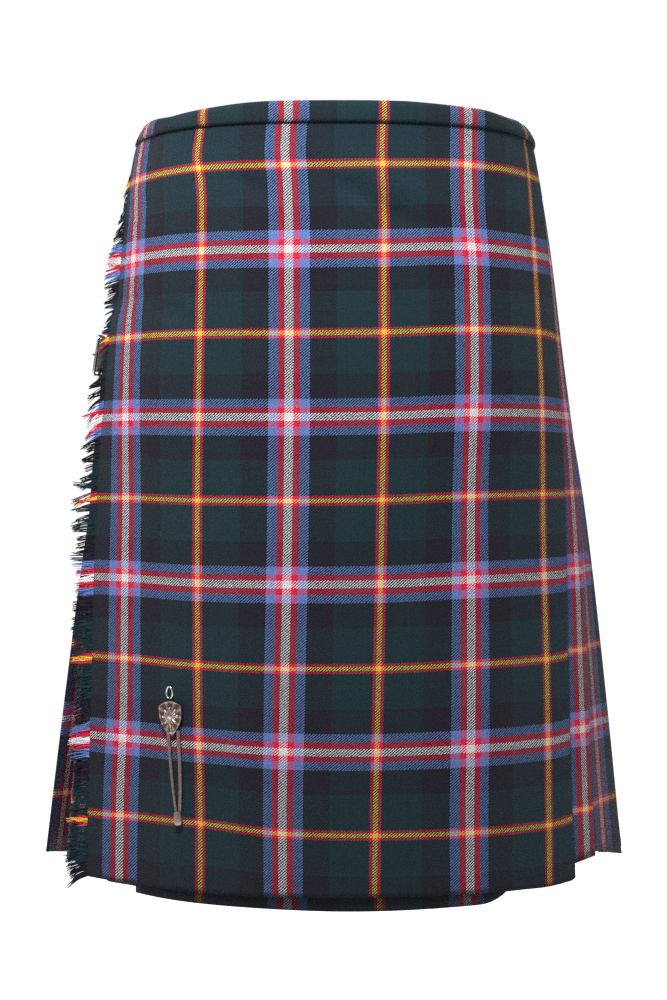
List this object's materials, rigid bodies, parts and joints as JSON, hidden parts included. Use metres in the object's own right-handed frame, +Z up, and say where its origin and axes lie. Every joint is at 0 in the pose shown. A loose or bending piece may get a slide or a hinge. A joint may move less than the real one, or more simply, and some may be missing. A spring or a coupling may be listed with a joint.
{
  "type": "scottish kilt",
  "caption": "Wrapped tartan wool kilt with flat overlapping aprons, knife pleats round the back, a fringed edge, leather straps with buckles and a kilt pin.",
  "frame": {"origin": "middle of the waist opening, level with the middle of the waistband", "axes": "+Z up along the wearer's height, front towards -Y, +X towards the wearer's left"},
  "size_m": [0.502, 0.3639, 0.6317],
  "materials": {
    "tartan_wool": "matt twill weave in dark green and black with red, blue, white and yellow stripes",
    "black_leather": "smooth, slight sheen",
    "chrome": "polished",
    "antique_pewter": "darkened pewter with worn high spots"
  },
  "bodies": {
    "root": {"buckle_left_waist": "chrome", "buckle_right_hip": "chrome", "buckle_right_waist": "chrome", "fringe": "tartan_wool", "keeper_left_waist": "black_leather", "keeper_right_hip": "black_leather", "keeper_right_waist": "black_leather", "over_apron": "tartan_wool", "pin_clasp": "antique_pewter", "pin_loop": "chrome", "pin_needle": "antique_pewter", "pin_shield": "antique_pewter", "pin_spine": "antique_pewter", "pleats": "tartan_wool", "prong_left_waist": "chrome", "prong_right_hip": "chrome", "prong_right_waist": "chrome", "strap_left_waist": "black_leather", "strap_right_hip": "black_leather", "strap_right_waist": "black_leather", "tab_left_waist": "black_leather", "tab_right_hip": "black_leather", "tab_right_waist": "black_leather", "under_apron": "tartan_wool", "waistband": "tartan_wool"}
  },
  "joints": []
}
